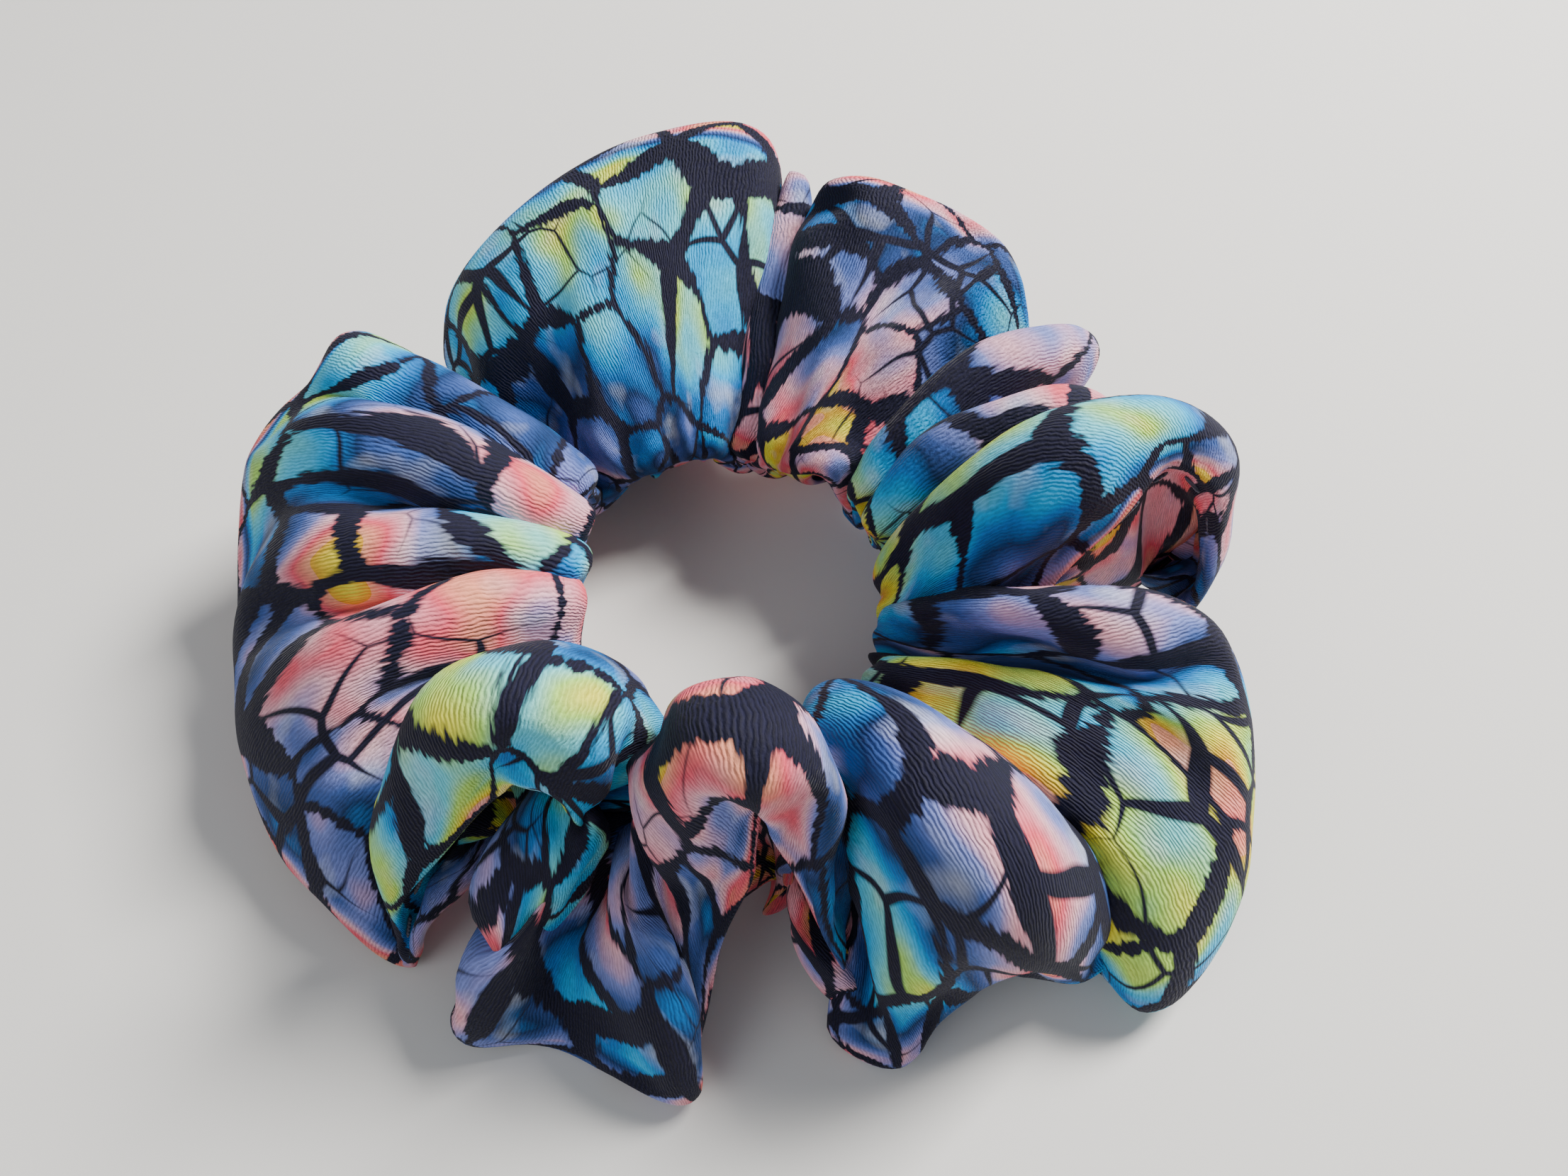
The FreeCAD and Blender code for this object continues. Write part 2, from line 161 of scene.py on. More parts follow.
def station_rows():
    """The stations as rows of numbers: rim xyz, over xyz, edge xyz, half thickness, sag."""
    rows = []
    for station, (rim, over, (angle, radius, height), half) in enumerate(STATIONS):
        turn = math.radians(angle)
        edge = (radius * math.cos(turn), radius * math.sin(turn), height)
        rows.append((*rim, *over, *edge, half, SAGS.get(station, 0.0)))
    return np.array(rows)


def smooth_rows(rows, places):
    """Values at places along the ring, on a Catmull-Rom spline through the stations' rows."""
    index = np.floor(places).astype(int)
    q = (places - index)[:, None]
    before, here, there, after = (rows[(index + k) % len(rows)] for k in (-1, 0, 1, 2))
    bend = 2.0 * before - 5.0 * here + 4.0 * there - after
    twist = 3.0 * (here - there) + after - before
    return 0.5 * (2.0 * here + (there - before) * q + bend * q**2 + twist * q**3)


def tube_surface(places, phase):
    """The tube's skin at places along the stations and phases round its section: the points, the
    direction out of the upper layer, the share of the way across the flattened tube, and how far
    the lower layer hangs."""
    guides = smooth_rows(station_rows(), places)[:, None, :]
    rim, over, edge = guides[..., 0:3], guides[..., 3:6], guides[..., 6:9]
    half, sag = guides[..., 9:10], np.maximum(guides[..., 10], 0.0)
    across = ((1.0 - np.cos(phase)) / 2.0)[None, :, None]
    flat = edge * (1 - across) ** 2 + over * 2 * across * (1 - across) + rim * across**2
    along = np.roll(flat, -1, axis=0) - np.roll(flat, 1, axis=0)
    outward = 2 * (1 - across) * (over - edge) + 2 * across * (rim - over)
    normal = unit(np.cross(outward, along))
    full = np.sign(np.sin(phase)) * np.abs(np.sin(phase)) ** ROUNDNESS
    skin = flat + normal * half * full[None, :, None]
    hang = (sag * np.maximum(-np.sin(phase), 0.0) ** HANG_DEPTH)[..., None]
    away = unit((rim - edge) * (1.0, 1.0, 0.0))
    skin += hang * (HANG_OUT * away - (0.0, 0.0, 1.0))
    return skin, normal, across, hang


def even_places():
    """Places along the stations that are evenly spaced along the cloth where it is least gathered."""
    places = np.linspace(0.0, len(STATIONS), PLACE_SAMPLES, endpoint=False)
    lines = tube_surface(places, OPEN_PHASES)[0]
    steps = np.linalg.norm(np.roll(lines, -1, axis=0) - lines, axis=2).max(axis=1)
    run = np.concatenate([[0.0], np.cumsum(steps)])
    wanted = np.linspace(0.0, run[-1], COLUMNS, endpoint=False)
    return np.interp(wanted, run, np.append(places, len(STATIONS)))


def tube_points():
    """Mesh points of the gathered tube, [column, row, xyz], in millimetres."""
    skin, normal, across, hang = tube_surface(even_places(), PHASES)
    phase = PHASES[None, :, None]
    fullness = np.sin(phase)
    turn = np.linspace(0.0, 2.0 * math.pi, COLUMNS, endpoint=False)[:, None, None]
    drifts, drift_angle = GATHER_DRIFT
    gather = CASING + (1 - across) ** 2 * np.sin(GATHERS * turn + drift_angle * np.sin(drifts * turn))
    casing = GATHER_HEIGHT * gather * np.tanh(CASING_EDGE * fullness) * (1 - across) ** 3
    creases = sum(
        height * np.sin(count * turn + lean * phase + WRINKLE_PHASE * count)
        for count, lean, height in WRINKLES
    )
    creases = creases * across * (WRINKLE_END - across) * np.abs(fullness) * (1.0 + hang / WRINKLE_HANG)
    points = skin + normal * (casing + creases)
    points[..., 2] = np.maximum(points[..., 2], TABLE_GAP)
    return points


def grid_mesh(name, points):
    """A closed tube of quads with a UV map that lies flat on the cloth, in metres."""
    columns, rows = points.shape[:2]
    index = np.arange(columns * rows).reshape(columns, rows)
    right = np.roll(index, -1, axis=0)
    up = np.roll(index, -1, axis=1)
    corner = np.roll(right, -1, axis=1)
    faces = np.stack([index, right, corner, up], axis=-1).reshape(-1, 4)
    mesh = bpy.data.meshes.new(name)
    mesh.from_pydata((points.reshape(-1, 3) * MM).tolist(), [], faces.tolist())
    u = np.arange(columns + 1) / columns * TUBE_LENGTH * MM
    v = np.arange(rows + 1) / rows * TUBE_ROUND * MM
    uv = mesh.uv_layers.new(name="cloth")
    layout = np.empty((columns, rows, 4, 2))
    layout[..., 0, 0] = layout[..., 3, 0] = u[:-1, None]
    layout[..., 1, 0] = layout[..., 2, 0] = u[1:, None]
    layout[..., 0, 1] = layout[..., 1, 1] = v[None, :-1]
    layout[..., 2, 1] = layout[..., 3, 1] = v[None, 1:]
    uv.data.foreach_set("uv", layout.ravel())
    for polygon in mesh.polygons:
        polygon.use_smooth = True
    obj = bpy.data.objects.new(name, mesh)
    bpy.context.scene.collection.objects.link(obj)
    return obj


def floor_plane(name, half=3.0):
    mesh = bpy.data.meshes.new(name)
    corners = [(-half, -half, 0), (half, -half, 0), (half, half, 0), (-half, half, 0)]
    mesh.from_pydata(corners, [], [(0, 1, 2, 3)])
    plane = bpy.data.objects.new(name, mesh)
    bpy.context.scene.collection.objects.link(plane)
    return plane


def get_points(mesh):
    points = np.empty(len(mesh.vertices) * 3, np.float32)
    mesh.vertices.foreach_get("co", points)
    return points.reshape(-1, 3)


def between(grid, axis):
    """A closed grid with a new line of values between every two lines, on cubic curves."""
    before, after, beyond = (np.roll(grid, k, axis) for k in (1, -1, -2))
    middle = (9.0 * (grid + after) - before - beyond) / 16.0
    shape = list(grid.shape)
    shape[axis] *= 2
    return np.stack([grid, middle], axis=axis + 1).reshape(shape)


def settle(points):
    """Cloth simulation on every second point: the cloth slackens a little, wrinkles, and comes to
    rest on the floor and on itself.  Returns all the points moved."""
    scene = bpy.context.scene
    start = points[::2, ::2]
    columns, rows = start.shape[:2]
    sim = grid_mesh("sim_cloth", start)
    sim.data.transform(Matrix.Scale(SIM_SCALE, 4))
    held = sim.vertex_groups.new(name="held")
    for row in range(-HELD_ROWS, HELD_ROWS + 1):
        weight = 1.0 - abs(row) / (HELD_ROWS + 1.0)
        held.add([column * rows + row % rows for column in range(columns)], weight, "REPLACE")
    sim_floor = floor_plane("sim_floor")
    sim_floor.modifiers.new("collision", "COLLISION")
    sim_floor.collision.thickness_outer = TABLE_GAP * MM * SIM_SCALE

    cloth = sim.modifiers.new("cloth", "CLOTH")
    settings = cloth.settings
    settings.quality = 4
    settings.mass = 0.3
    settings.air_damping = 4.0
    settings.tension_stiffness = settings.compression_stiffness = 15.0
    settings.shear_stiffness = 6.0
    settings.bending_stiffness = BENDING
    settings.shrink_min = settings.shrink_max = SLACK
    settings.vertex_group_mass = "held"
    settings.effector_weights.gravity = GRAVITY
    touching = cloth.collision_settings
    touching.distance_min = TABLE_GAP * MM * SIM_SCALE
    touching.use_self_collision = True
    touching.self_distance_min = CLOTH_GAP * MM * SIM_SCALE
    for step in range(1, SIM_FRAMES + 1):
        scene.frame_set(step)
    settled = get_points(sim.evaluated_get(bpy.context.evaluated_depsgraph_get()).data)
    scene.frame_set(1)
    for made in (sim, sim_floor):
        bpy.data.objects.remove(made)
    travel = settled.reshape(start.shape) / SIM_SCALE / MM - start
    distance = np.linalg.norm(travel, axis=2, keepdims=True)
    travel *= np.minimum(1.0, SIM_TRAVEL / np.maximum(distance, 1e-9))
    moved = points + between(between(travel, 0), 1)
    moved[..., 2] = np.maximum(moved[..., 2], TABLE_GAP)
    return moved


# ------------------------------------------------------------------ elastic and threads

def smoothed(line, reach):
    """A closed line of points, each replaced by the mean of its neighbours."""
    return sum(np.roll(line, k, axis=0) for k in range(-reach, reach + 1)) / (2 * reach + 1)


def column_at(place):
    """The mesh column nearest to a place along the stations."""
    return int(np.argmin(np.abs(even_places() - place)))


def casing_frames(cloth):
    """Middle of the air round the elastic at every column, and its outward and upward directions,
    from three lines through that air: one nearer the inner edge, one at the elastic, one past it."""
    middle = [0.5 * (cloth[:, ELASTIC_ROW + k] + cloth[:, ROWS - ELASTIC_ROW - k]) for k in (-2, 0, 2)]
    inner, centre, outer = (smoothed(line, 3) for line in middle)
    along = unit(np.roll(centre, -2, axis=0) - np.roll(centre, 2, axis=0))
    up = unit(np.cross(outer - inner, along))
    return centre, np.cross(along, up), up


def ease(value):
    value = np.clip(value, 0.0, 1.0)
    return value * value * (3.0 - 2.0 * value)


def mesh_piece(name, points, faces):
    mesh = bpy.data.meshes.new(name)
    mesh.from_pydata((np.asarray(points) * MM).tolist(), [], faces)
    for polygon in mesh.polygons:
        polygon.use_smooth = True
    piece = bpy.data.objects.new(name, mesh)
    bpy.context.scene.collection.objects.link(piece)
    return piece


def make_elastic(cloth):
    """A flat strip round the ring inside the cloth, its ends lying on each other at the lap."""
    centre, out, up = casing_frames(cloth)
    lap = column_at(LAP_PLACE)
    steps = np.arange(-LAP_COLUMNS, COLUMNS + LAP_COLUMNS + 1)
    columns = (lap + steps) % COLUMNS
    below = ease((2.0 * LAP_COLUMNS - steps) / LAP_COLUMNS)
    above = ease((steps - COLUMNS + 2.0 * LAP_COLUMNS) / LAP_COLUMNS)
    lift = (above - below)[:, None] * LAP_SHIFT * ELASTIC_THICK
    line = centre[columns] + up[columns] * lift
    section = [
        (ELASTIC_REACH * math.cos(a), math.copysign(0.5 * ELASTIC_THICK, math.sin(a)))
        for a in np.arange(8) * math.pi / 4 + math.pi / 8
    ]
    rings = np.stack([line + out[columns] * x + up[columns] * y for x, y in section], axis=1)
    count, around = rings.shape[:2]
    faces = []
    for i in range(count - 1):
        for j in range(around):
            here, there = i * around + j, i * around + (j + 1) % around
            faces.append((here, there, there + around, here + around))
    faces.append(tuple(reversed(range(around))))
    faces.append(tuple(range((count - 1) * around, count * around)))
    elastic = mesh_piece("elastic_band_woven", rings.reshape(-1, 3), faces)
    uv = elastic.data.uv_layers.new(name="cloth")
    for polygon in elastic.data.polygons:
        for corner, vertex in zip(polygon.loop_indices, polygon.vertices):
            ring, side = divmod(vertex, around)
            uv.data[corner].uv = (ring * ELASTIC_STEP * MM, section[side][0] * MM)
    return elastic


def make_stitches(name, pins):
    """Short round-ended stitches in one mesh.  Each pin is a start and an end."""
    sides = 8
    rings = ((0.0, 0.5), (0.15, 1.0), (0.85, 1.0), (1.0, 0.5))   # share of the length, of the radius
    points, faces = [], []
    for start, end in pins:
        along = unit(end - start)
        side = unit(np.cross(along, (0.31, 0.42, 0.85)))   # a direction that no stitch lies along
        other = np.cross(along, side)
        first = len(points)
        for share, width in rings:
            for turn in 2.0 * math.pi * np.arange(sides) / sides:
                spoke = side * math.cos(turn) + other * math.sin(turn)
                points.append(start + (end - start) * share + spoke * THREAD * width)
        for ring in range(len(rings) - 1):
            for j in range(sides):
                here, there = first + ring * sides + j, first + ring * sides + (j + 1) % sides
                faces.append((here, there, there + sides, here + sides))
        faces.append(tuple(first + j for j in reversed(range(sides))))
        faces.append(tuple(first + (len(rings) - 1) * sides + j for j in range(sides)))
    return mesh_piece(name, points, faces)


def make_tack(cloth):
    """Three rows of five stitches through both layers of the elastic's lap."""
    centre, out, up = casing_frames(cloth)
    pins = []
    for row in (-1, 0, 1):
        for column in np.arange(-2, 3) * TACK_COLUMNS + column_at(LAP_PLACE):
            middle = centre[column] + out[column] * row * TACK_ROW_GAP
            pins.append((middle - up[column] * TACK_REACH, middle + up[column] * TACK_REACH))
    return make_stitches("elastic_join_thread", pins)


def make_side_seam(cloth):
    """A running stitch along the rim, midway between the rows two away from it on each side."""
    inside = smoothed(0.5 * (cloth[:, RIM_ROW - 2] + cloth[:, RIM_ROW + 2]), 1)
    pins = [(inside[c], inside[(c + SEAM_STITCH) % COLUMNS]) for c in range(0, COLUMNS, SEAM_COLUMNS)]
    return make_stitches("side_seam_running_stitch", pins)


def make_closing_seam(cloth):
    """Stitches across the join of the tube's two ends, round the tube."""
    column = column_at(CLOSING_PLACE)
    pins = []
    for row in range(1, ROWS, 2):
        here = cloth[column, row]
        reach = CLOSING_REACH * unit(cloth[column + 1, row] - cloth[column - 1, row])
        pins.append((here - reach, here + reach))
    return make_stitches("closing_seam_stitch", pins)


def make_cover(points):
    cover = grid_mesh("fabric_cover_cloth", points)
    cover.data.materials.append(fabric_material())
    paint_theme(cover)
    subdivide = cover.modifiers.new("smooth", "SUBSURF")
    subdivide.levels = subdivide.render_levels = 1
    return cover


# ------------------------------------------------------------------ materials

def node(tree, kind, **settings):
    made = tree.nodes.new(kind)
    for key, value in settings.items():
        setattr(made, key, value)
    return made


def math_node(tree, operation, first, second=None, third=None, clamp=False):
    made = node(tree, "ShaderNodeMath", operation=operation, use_clamp=clamp)
    for socket, value in zip(made.inputs, (first, second, third)):
        if value is None:
            continue
        if isinstance(value, (int, float)):
            socket.default_value = value
        else:
            tree.links.new(value, socket)
    return made.outputs[0]


def ramp_node(tree, factor, stops):
    made = node(tree, "ShaderNodeValToRGB")
    ramp = made.color_ramp
    while len(ramp.elements) < len(stops):
        ramp.elements.new(0.5)
    for element, (position, colour) in zip(ramp.elements, stops):
        element.position = position
        element.color = (*colour, 1.0)
    tree.links.new(factor, made.inputs[0])
    return made.outputs[0]


def mix_colour(tree, factor, first, second):
    made = node(tree, "ShaderNodeMix", data_type="RGBA")
    for socket, value in ((made.inputs[0], factor), (made.inputs[6], first), (made.inputs[7], second)):
        if isinstance(value, (int, float)):
            socket.default_value = value
        elif isinstance(value, tuple):
            socket.default_value = (*value, 1.0)
        else:
            tree.links.new(value, socket)
    return made.outputs[2]


def scaled(tree, vector, scale):
    made = node(tree, "ShaderNodeVectorMath", operation="MULTIPLY")
    tree.links.new(vector, made.inputs[0])
    made.inputs[1].default_value = scale
    return made.outputs[0]


def noise_node(tree, vector, scale, detail=2.0, roughness=0.5):
    made = node(tree, "ShaderNodeTexNoise")
    tree.links.new(vector, made.inputs["Vector"])
    made.inputs["Scale"].default_value = scale
    made.inputs["Detail"].default_value = detail
    made.inputs["Roughness"].default_value = roughness
    return made


def wave_node(tree, vector, period, direction):
    """Bands across X or Y, one every period, in metres; on the diagonal they are a sixth wider."""
    made = node(tree, "ShaderNodeTexWave", bands_direction=direction)
    tree.links.new(vector, made.inputs["Vector"])
    made.inputs["Scale"].default_value = math.pi / 10.0 / period
    return made.outputs["Fac"]


def add_bump(tree, shader, height, distance, strength=1.0):
    """Dents the surface by a height, of which 1 stands for a distance in metres."""
    bump = node(tree, "ShaderNodeBump")
    bump.inputs["Strength"].default_value = strength
    bump.inputs["Distance"].default_value = distance
    tree.links.new(height, bump.inputs["Height"])
    tree.links.new(bump.outputs[0], shader.inputs["Normal"])


def new_material(name):
    material = bpy.data.materials.new(name)
    material.use_nodes = True
    tree = material.node_tree
    shader = tree.nodes["Principled BSDF"]
    return material, tree, shader


PRINT_COLOURS = (
    (0.00, (0.92, 0.40, 0.22)),   # peach
    (0.10, (0.84, 0.10, 0.15)),   # salmon pink
    (0.20, (0.80, 0.42, 0.50)),   # pale pink
    (0.29, (0.20, 0.24, 0.58)),   # lilac
    (0.38, (0.045, 0.10, 0.34)),  # grey blue
    (0.47, (0.006, 0.035, 0.13)),  # denim
    (0.56, (0.004, 0.18, 0.55)),  # strong blue
    (0.65, (0.008, 0.42, 0.80)),  # sky
    (0.75, (0.14, 0.62, 0.72)),   # aqua
    (0.84, (0.42, 0.74, 0.14)),   # lime
    (0.93, (0.84, 0.76, 0.05)),   # yellow
    (1.00, (0.78, 0.38, 0.03)),   # gold
)
PALE = (0.80, 0.80, 0.82)  # the colours fade towards this in places
INK = (0.003, 0.003, 0.010)
INK_RIDGE = (0.014, 0.014, 0.045)   # ink colour on top of the knit's ridges, lighter than in its grooves

# In metres.
CELL = 0.0096              # from one cell of the print to the next
CELL_WANDER = 0.0065       # how far noise pushes the cells' outlines about
PEN_CELL = 0.8 * CELL      # from one thin pen line to the next
PEN_WANDER = 0.004
RIB = 0.00035              # from one rib of the knit to the next
RIB_WANDER = 0.0010        # how far the ribs weave over a few millimetres
RIB_TREMBLE = 0.00035      # and over less than one
RELIEF = 0.00026           # height of the knit's surface
CORD = 0.0007              # from one cord of the elastic to the next
PICK = 0.0005              # and from one pick across them to the next
TWIST = 0.0004             # from one turn of the thread's twist to the next

# Noise scales, per metre.
OUTLINE_NOISE = 85.0
FEATHER_NOISE = (2100.0, 380.0, 1.0)    # fine along the tube, so that the ink runs along the ribs
SWELL_NOISE = 75.0
PEN_NOISE = 120.0
PEN_PLACES = 52.0
COLOUR_NOISE = 125.0
PALE_NOISE = 150.0
RIB_NOISE = 260.0
TREMBLE_NOISE = 1500.0
CREPE_NOISE = (2400.0, 1400.0, 1.0)

# Shares of a cell.
INK_WIDTH = 0.075          # half the outlines' usual width
INK_SWELL = 0.62           # how much that swells and shrinks from place to place
INK_THINNEST = 0.034
INK_FEATHER = 0.20         # how far the ink feathers out
INK_EDGE = 26.0            # sharpness of the ink's edge
PEN_FROM = 0.57            # pen lines are drawn where their noise is above this
PEN_WIDTH = 0.34           # and widen this much with it
PEN_EDGE = 28.0

# Shares of the whole run of colours.
CELL_STEP = 0.22           # how much the colour differs from cell to cell
COLOUR_DRIFT = 0.65        # and inside each cell
PALE_FROM = 0.56           # the colours fade where their noise is above this
PALE_GAIN = 2.2

# Of the knit's height, which adds the ribs to the grain of the crepe.
RIB_HEIGHT = 0.42          # the ribs' height, where the grain's is 1
INK_RIDGE_BLEND = 0.6             # how fast the ink turns to its lighter ridge colour with height
PAINTED_GROOVE_SHADE = (0.60, 0.50)       # painted shade in the knit's grooves: the colour's brightness, its rise with height, and its lowest value
GLOSS = (0.25, 0.64)       # the roughness: its rise with the grain, and its lowest value


def centred(tree, factor, amount):
    """A noise value moved to lie around zero and scaled."""
    return math_node(tree, "MULTIPLY", math_node(tree, "SUBTRACT", factor, 0.5), amount)


def wandering(tree, uv, scale, amount):
    """The cloth's coordinates pushed about by noise, so that what is drawn there isn't straight."""
    shift = node(tree, "ShaderNodeVectorMath", operation="SUBTRACT")
    tree.links.new(noise_node(tree, uv, scale, 0.6).outputs["Color"], shift.inputs[0])
    shift.inputs[1].default_value = (0.5, 0.5, 0.5)
    moved = node(tree, "ShaderNodeVectorMath", operation="MULTIPLY_ADD")
    tree.links.new(shift.outputs[0], moved.inputs[0])
    moved.inputs[1].default_value = (amount, amount, 0.0)
    tree.links.new(uv, moved.inputs[2])
    return moved.outputs[0]


def cell_pattern(tree, vector, size, feature):
    made = node(tree, "ShaderNodeTexVoronoi", feature=feature, voronoi_dimensions="2D")
    made.inputs["Scale"].default_value = 1.0 / size
    made.inputs["Randomness"].default_value = 0.95
    tree.links.new(vector, made.inputs["Vector"])
    return made


def ink_lines(tree, uv, moved):
    """1 on the print's ground and 0 in its ink: outlines that swell into blots and feather out
    along the ribs, with a few thin pen lines inside the cells."""
    edges = cell_pattern(tree, moved, CELL, "DISTANCE_TO_EDGE").outputs["Distance"]
    feather = noise_node(tree, scaled(tree, uv, FEATHER_NOISE), 1.0, 2.0).outputs["Fac"]
    swell = noise_node(tree, uv, SWELL_NOISE, 1.0).outputs["Fac"]
    width = math_node(tree, "ADD", centred(tree, swell, INK_SWELL), INK_WIDTH)
    width = math_node(tree, "MAXIMUM", width, INK_THINNEST)
    width = math_node(tree, "ADD", width, centred(tree, feather, INK_FEATHER))
    off_outline = math_node(tree, "SUBTRACT", edges, width)
    off_outline = math_node(tree, "MULTIPLY", off_outline, INK_EDGE, clamp=True)

    pen = cell_pattern(tree, wandering(tree, uv, PEN_NOISE, PEN_WANDER), PEN_CELL, "DISTANCE_TO_EDGE")
    some = noise_node(tree, uv, PEN_PLACES, 0.0).outputs["Fac"]
    pen_width = math_node(tree, "MULTIPLY", math_node(tree, "SUBTRACT", some, PEN_FROM), PEN_WIDTH)
    off_pen = math_node(tree, "SUBTRACT", pen.outputs["Distance"], pen_width)
    off_pen = math_node(tree, "MULTIPLY", off_pen, PEN_EDGE, clamp=True)
    return math_node(tree, "MULTIPLY", off_outline, off_pen)


def print_colour(tree, uv, moved):
    """A drift along the tube, a step from cell to cell, and a blend inside each cell."""
    theme = node(tree, "ShaderNodeAttribute", attribute_name="print_theme").outputs["Fac"]
    separate = node(tree, "ShaderNodeSeparateColor")
    tree.links.new(cell_pattern(tree, moved, CELL, "F1").outputs["Color"], separate.inputs[0])
    step = centred(tree, separate.outputs[0], CELL_STEP)
    drift = centred(tree, noise_node(tree, uv, COLOUR_NOISE, 1.0).outputs["Fac"], COLOUR_DRIFT)
    place = math_node(tree, "ADD", math_node(tree, "ADD", theme, step), drift)
    colour = ramp_node(tree, math_node(tree, "FRACT", place), PRINT_COLOURS)
    pale = noise_node(tree, uv, PALE_NOISE, 2.0).outputs["Fac"]
    paler = math_node(tree, "SUBTRACT", pale, PALE_FROM)
    paler = math_node(tree, "MULTIPLY", paler, PALE_GAIN, clamp=True)
    return mix_colour(tree, paler, colour, PALE)


def fabric_material():
    """Printed crepe knit: fine ribs round the tube, and a print of inked cells."""
    material, tree, shader = new_material("printed_crepe")
    uv = node(tree, "ShaderNodeUVMap", uv_map="cloth").outputs[0]
    moved = wandering(tree, uv, OUTLINE_NOISE, CELL_WANDER)
    ground = ink_lines(tree, uv, moved)

    woven = wandering(tree, uv, RIB_NOISE, RIB_WANDER)
    ribs = wave_node(tree, wandering(tree, woven, TREMBLE_NOISE, RIB_TREMBLE), RIB, "X")
    crepe = noise_node(tree, scaled(tree, uv, CREPE_NOISE), 1.0, 3.0, 0.6).outputs["Fac"]
    height = math_node(tree, "ADD", math_node(tree, "MULTIPLY", ribs, RIB_HEIGHT), crepe)

    # the ink is lighter on the ridges than in the grooves, and the colour is darkened with painted
    # shade in the grooves between them
    ink = mix_colour(tree, math_node(tree, "MULTIPLY", height, INK_RIDGE_BLEND, clamp=True), INK, INK_RIDGE)
    colour = mix_colour(tree, ground, ink, print_colour(tree, uv, moved))
    shaded = node(tree, "ShaderNodeVectorMath", operation="MULTIPLY")
    tree.links.new(colour, shaded.inputs[0])
    tree.links.new(math_node(tree, "MULTIPLY_ADD", height, *PAINTED_GROOVE_SHADE), shaded.inputs[1])
    tree.links.new(shaded.outputs[0], shader.inputs["Base Color"])
    add_bump(tree, shader, height, RELIEF, 0.85)
    tree.links.new(math_node(tree, "MULTIPLY_ADD", crepe, *GLOSS), shader.inputs["Roughness"])
    shader.inputs["Sheen Weight"].default_value = 0.05
    shader.inputs["Sheen Roughness"].default_value = 0.4
    shader.inputs["Specular IOR Level"].default_value = 0.22
    return material


def elastic_material():
    """White braided elastic: cords along its length, crossed by fine picks, with painted shade in the
    grooves between them.
    """
    material, tree, shader = new_material("braided_elastic")
    uv = node(tree, "ShaderNodeUVMap", uv_map="cloth").outputs[0]
    cords = wave_node(tree, uv, CORD, "Y")
    picks = wave_node(tree, uv, PICK, "X")
    height = math_node(tree, "ADD", cords, math_node(tree, "MULTIPLY", picks, 0.5))
    # painted shade: the white elastic is grey in the grooves between its cords and picks, and lightest
    # on their tops
    stops = ((0.0, (0.52, 0.50, 0.46)), (1.0, (0.84, 0.83, 0.80)))
    colour = ramp_node(tree, math_node(tree, "MULTIPLY", height, 0.66), stops)
    tree.links.new(colour, shader.inputs["Base Color"])
    add_bump(tree, shader, height, 0.0002)
    shader.inputs["Roughness"].default_value = 0.7
    return material


def thread_material():
    """Dark polyester thread with the slant of its twist, and painted shade in the twist's grooves."""
    material, tree, shader = new_material("twisted_thread")
    where = node(tree, "ShaderNodeTexCoord").outputs["Object"]
    twist = wave_node(tree, where, TWIST, "DIAGONAL")
    # painted shade: the thread is darker in the grooves of its twist and lighter on its ridges
    colour = ramp_node(tree, twist, ((0.0, (0.008, 0.010, 0.025)), (1.0, (0.035, 0.042, 0.08))))
    tree.links.new(colour, shader.inputs["Base Color"])
    add_bump(tree, shader, twist, 0.00008)
    shader.inputs["Roughness"].default_value = 0.55
    shader.inputs["Sheen Weight"].default_value = 0.2
    return material


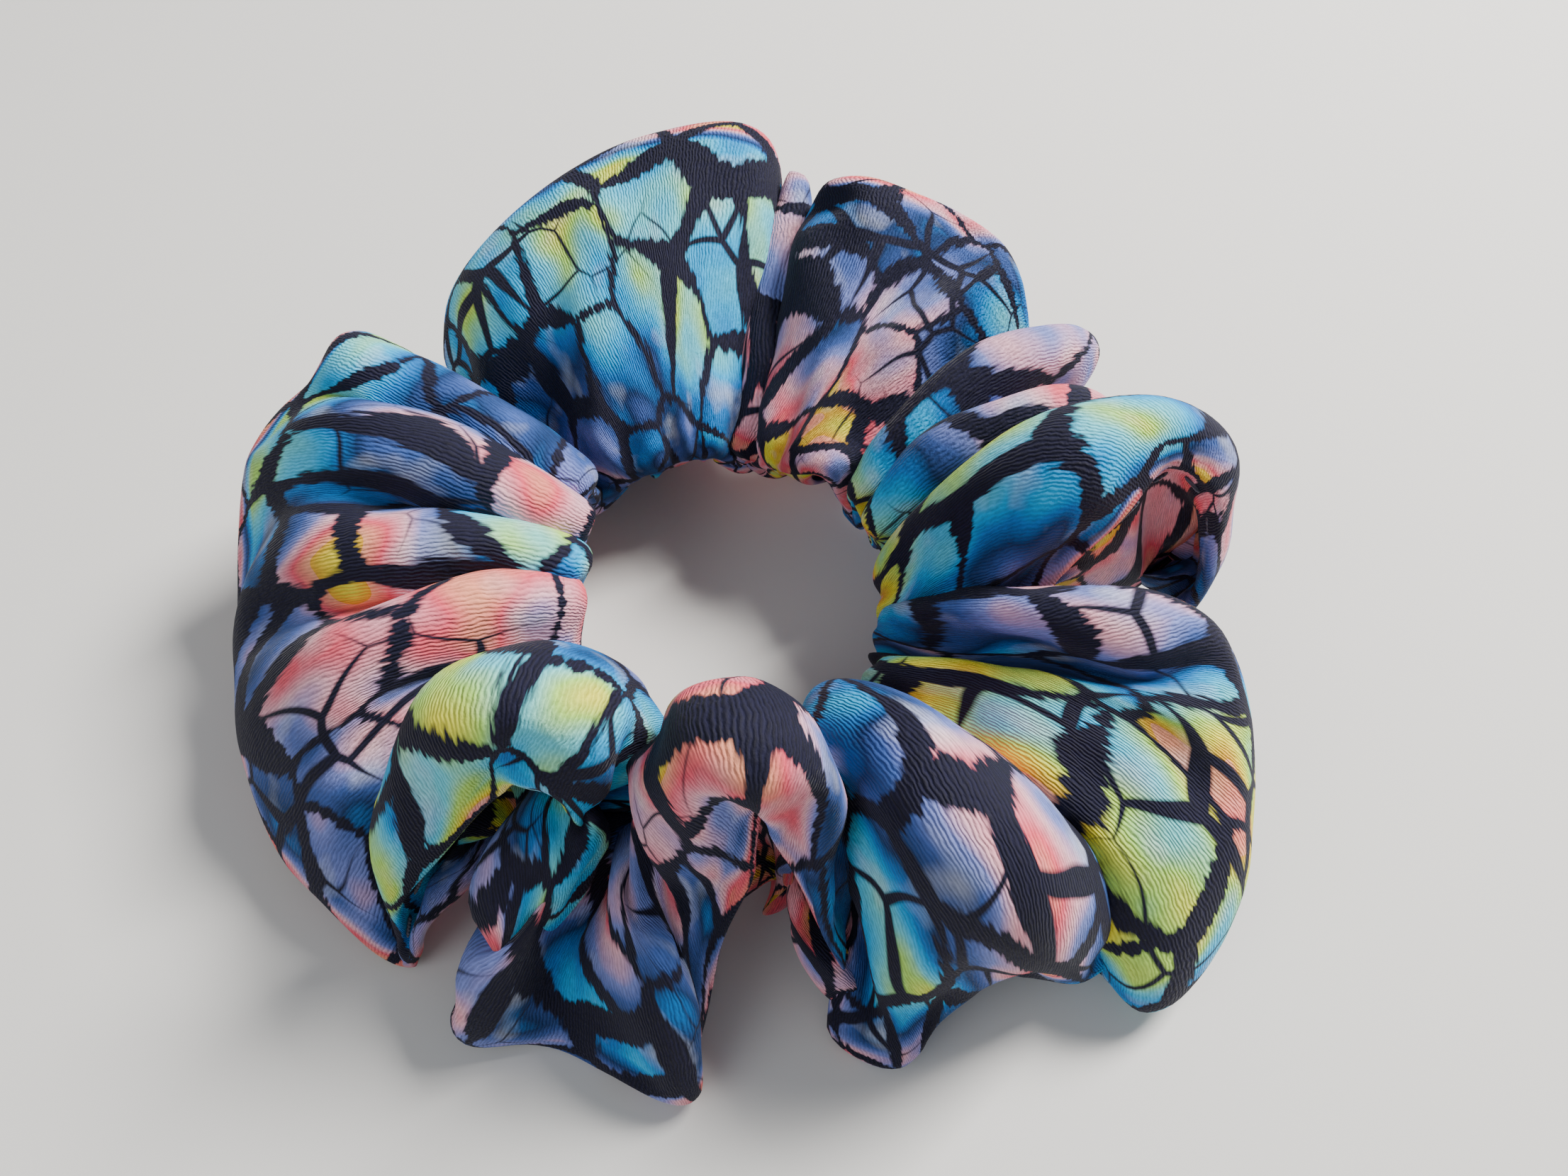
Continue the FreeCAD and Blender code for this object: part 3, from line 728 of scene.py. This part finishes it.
# Where the print drifts: a station, and the colour place there of the upper layer at its inner
# edge, half way out and at the rim, and of the lower layer.
THEMES = (
    (0, 0.10, 0.42, 0.50, 0.12),
    (1, 0.80, 0.86, 0.80, 0.62),
    (2, 0.06, 0.70, 0.62, 0.96),
    (3, 0.60, 0.66, 0.64, 0.90),
    (4, 0.96, 0.22, 0.26, 0.30),
    (5, 0.42, 0.30, 0.70, 0.40),
    (6, 0.12, 0.30, 0.60, 0.12),
    (7, 0.10, 0.24, 0.44, 0.12),
    (8, -0.02, 0.08, 0.36, 0.10),
    (9, 0.14, 0.36, 0.56, 0.12),
    (10, 0.14, 0.12, 0.10, 0.10),
    (11, 0.40, 0.50, 0.60, 0.42),
    (12, 0.60, 0.66, 0.88, 0.50),
    (13, 0.64, 0.16, -0.03, 0.40),
    (14, 0.18, 0.20, 0.74, 0.62),
    (15, 0.40, 0.46, 0.50, 0.44),
    (16, 0.92, 0.92, 0.84, 0.60),
    (17, 0.92, 0.86, 0.80, 0.66),
    (18, 0.70, 0.76, 0.84, 0.60),
    (19, 0.47, 0.50, 0.66, 0.60),
    (20, 0.50, 0.16, 0.10, 0.14),
    (21, 0.56, 0.17, 0.13, 0.14),
    (22, 0.60, 0.16, 0.13, 0.10),
    (23, 0.84, 0.64, 0.50, 0.09),
    (24, 0.92, 0.82, 0.66, 0.09),
    (25, 0.94, 0.66, 0.22, 0.10),
    (26, 0.30, 0.50, 0.22, 0.47),
    (27, 0.20, 0.30, 0.38, 0.47),
    (30, 0.94, 0.12, 0.16, 0.30),
    (32, 0.98, 0.24, 0.38, 0.40),
    (33, 0.30, 0.40, 0.92, 0.60),
    (34, 0.08, 0.34, 0.70, 0.60),
    (35, 0.06, 0.30, 0.47, 0.10),
    (36, 0.10, 0.34, 0.48, 0.10),
    (38, 0.20, 0.20, 0.24, 0.15),
    (40, 0.40, 0.76, 0.72, 0.10),
    (41, 0.42, 0.88, 0.78, 0.12),
    (42, 0.40, 0.72, 0.80, 0.60),
    (43, 0.30, 0.56, 0.72, 0.60),
    (45, 0.38, 0.44, 0.93, 0.12),
    (46, 0.40, 0.60, 0.92, 0.10),
    (47, 0.12, 0.34, 0.90, 0.10),
    (48, 0.40, 0.46, 0.66, 0.10),
    (49, 0.92, 0.12, 0.62, 0.09),
    (50, 0.16, 0.10, 0.58, 0.10),
    (51, 0.10, 0.14, 0.34, 0.09),
    (52, 0.24, 0.30, 0.36, 0.10),
    (53, 0.12, 0.26, 0.46, 0.10),
)
RIM_TURN = 0.925           # the lower layer's colour comes round the rim to here on the upper one


def paint_theme(obj):
    """Stores the colour place of every point of the cover for the print to read."""
    places = even_places()
    keys = np.array(THEMES)
    stops = np.append(keys[:, 0], len(STATIONS))
    edge, middle, rim, lower = (
        np.interp(places, stops, np.append(keys[:, k], keys[0, k]))[:, None] for k in (1, 2, 3, 4)
    )
    across = ((1.0 - np.cos(PHASES)) / 2.0)[None, :]
    inner = edge + (middle - edge) * np.minimum(1.0, 2.0 * across)
    upper = inner + (rim - middle) * np.maximum(0.0, 2.0 * across - 1.0)
    turned = np.clip((across - RIM_TURN) / (1.0 - RIM_TURN), 0.0, 0.5) * 2.0
    value = np.where(np.sin(PHASES)[None, :] >= 0.0, upper + (lower - upper) * turned, lower)
    attribute = obj.data.attributes.new("print_theme", "FLOAT", "POINT")
    attribute.data.foreach_set("value", value.astype(np.float32).ravel())


# ------------------------------------------------------------------ floor, light and camera

IMAGE_WIDTH = 2212.0       # pixels
FOCAL_LENGTH = 1700.0      # in pixels of the image, as wide as a phone's lens
SENSOR = 36.0              # millimetres
LOOKS_DOWN = 58.0          # degrees
AIM = Vector((0.008, -0.0025, 0.018))   # the point in the middle of the image, in metres
DISTANCE = 0.140           # and how far the camera is from it
LIT = (0.0, 0.0, 0.02)     # the point that the lights face


def make_floor():
    floor = floor_plane("floor")
    material, _, shader = new_material("pale_floor")
    shader.inputs["Base Color"].default_value = (0.72, 0.71, 0.69, 1.0)
    shader.inputs["Roughness"].default_value = 0.9
    floor.data.materials.append(material)


def area_light(name, place, size, power, colour=(1.0, 1.0, 1.0)):
    data = bpy.data.lights.new(name, "AREA")
    data.size = size
    data.energy = power
    data.color = colour
    light = bpy.data.objects.new(name, data)
    light.location = place
    light.rotation_euler = (Vector(LIT) - Vector(place)).to_track_quat("-Z", "Y").to_euler()
    bpy.context.scene.collection.objects.link(light)


def make_lights():
    world = bpy.context.scene.world or bpy.data.worlds.new("world")
    bpy.context.scene.world = world
    world.use_nodes = True
    background = world.node_tree.nodes["Background"]
    background.inputs[0].default_value = (0.92, 0.95, 1.0, 1.0)
    background.inputs[1].default_value = 0.30
    area_light("key", (0.44, 0.30, 0.56), 0.26, 15.0, (1.0, 0.97, 0.93))
    area_light("fill", (-0.55, -0.45, 0.55), 0.6, 2.2, (0.92, 0.96, 1.0))


def make_camera():
    """Looks along +Y and down at the table, close to the object."""
    down = math.radians(LOOKS_DOWN)
    forward = Vector((0.0, math.cos(down), -math.sin(down)))
    data = bpy.data.cameras.new("camera")
    data.sensor_width = SENSOR
    data.lens = SENSOR * FOCAL_LENGTH / IMAGE_WIDTH
    data.clip_start = 0.005
    camera = bpy.data.objects.new("camera", data)
    camera.location = AIM - forward * DISTANCE
    camera.rotation_euler = forward.to_track_quat("-Z", "Y").to_euler()
    bpy.context.scene.collection.objects.link(camera)
    bpy.context.scene.camera = camera


# ------------------------------------------------------------------ build

cloth_points = tube_points()
cloth_points = settle(cloth_points)
thread = thread_material()
cover = make_cover(cloth_points)
elastic = make_elastic(cloth_points)
elastic.data.materials.append(elastic_material())
side_seam, closing_seam, tack = (
    make(cloth_points) for make in (make_side_seam, make_closing_seam, make_tack)
)
for piece, node_name, slot in (
    (cover, "fabric_cover", "printed_fabric"),
    (elastic, "elastic_band", "woven_elastic"),
    (side_seam, "side_seam_thread", "sewing_thread"),
    (closing_seam, "closing_seam_thread", "sewing_thread"),
    (tack, "elastic_join_stitches", "sewing_thread"),
):
    if slot == "sewing_thread":
        piece.data.materials.append(thread)
    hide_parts(node_name)
    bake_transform(piece)

make_floor()
make_lights()
make_camera()
